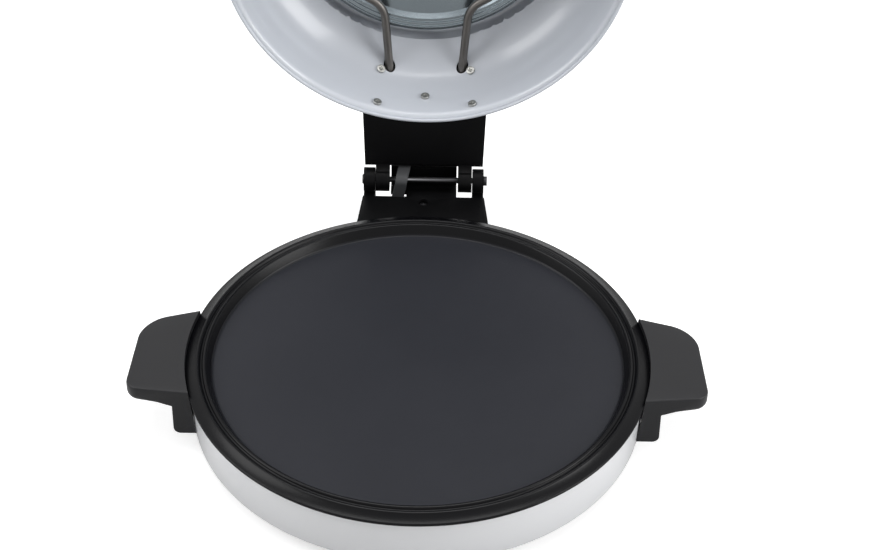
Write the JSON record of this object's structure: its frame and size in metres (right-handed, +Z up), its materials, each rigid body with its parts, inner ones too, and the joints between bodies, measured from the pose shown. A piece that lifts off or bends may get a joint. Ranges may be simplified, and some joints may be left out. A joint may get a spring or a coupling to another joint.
{
  "type": "electric pizza maker",
  "caption": "Round electric pizza maker: a black cooking plate in a pale band with side handles, under a domed lid with a heater and reflector, hinged at the back.",
  "frame": {"origin": "centre of the cooking surface, on its top face", "axes": "+Z up, -Y towards the front, +X to the right seen from the front"},
  "size_m": [0.4194, 0.4904, 0.4557],
  "materials": {
    "nonstick": "black non-stick coating, satin",
    "band_paint": "pale satin paint",
    "dome_paint": "pale semi-gloss paint",
    "cover_paint": "black satin paint",
    "grip_black": "black moulded, slightly glossy",
    "hinge_black": "black moulded, satin",
    "foot_rubber": "matte",
    "heater_steel": "dark brown-grey, heat-tinted",
    "sheet_steel": "plain aluminised sheet",
    "polished_dish": "polished",
    "zinc_steel": "zinc-plated",
    "dark_steel": "blackened",
    "ceramic": "white ceramic",
    "gland_plastic": "black nylon",
    "sleeve_grey": "grey silicone-coated sleeve",
    "lead_insulation": "pale silicone insulation"
  },
  "bodies": {
    "base": {"cooking_plate": "nonstick", "base_shell": "band_paint", "bottom_cover": "cover_paint", "feet": "foot_rubber", "tie_screws": "zinc_steel", "lower_element": "heater_steel", "element_clamps": "sheet_steel", "lower_reflector": "sheet_steel", "clamp_screws": "zinc_steel", "thermostat": "zinc_steel", "thermostat_bracket": "sheet_steel", "thermal_fuse": "ceramic", "terminal_block": "ceramic", "block_screw": "zinc_steel", "inner_leads": "lead_insulation", "right_handle": "grip_black", "left_handle": "grip_black", "handle_screws": "zinc_steel", "base_hinge_bracket": "hinge_black", "bracket_cover": "hinge_black", "cover_screw": "dark_steel", "bracket_screws": "zinc_steel", "cable_gland": "gland_plastic", "hinge_rod": "dark_steel", "hinge_screw": "dark_steel", "lead_sleeve": "sleeve_grey"},
    "lid": {"lid_shell": "dome_paint", "reflector_dish": "polished_dish", "reflector_spacers": "zinc_steel", "reflector_screws": "zinc_steel", "upper_element": "heater_steel", "element_clips": "sheet_steel", "clip_screws": "zinc_steel", "element_insulators": "ceramic", "element_tabs": "zinc_steel", "lid_hinge_housing": "hinge_black", "lid_screws": "zinc_steel", "lid_leads": "lead_insulation", "lid_handle": "grip_black", "lid_handle_screws": "zinc_steel"}
  },
  "joints": [
    {"name": "lid_hinge", "type": "hinge", "parent": "base", "child": "lid", "pos_m": [0, 0.2118, 0.0082], "axis": [1, 0, 0], "range_deg": [0, 96.4], "deforming": ["lead_sleeve"]}
  ]
}
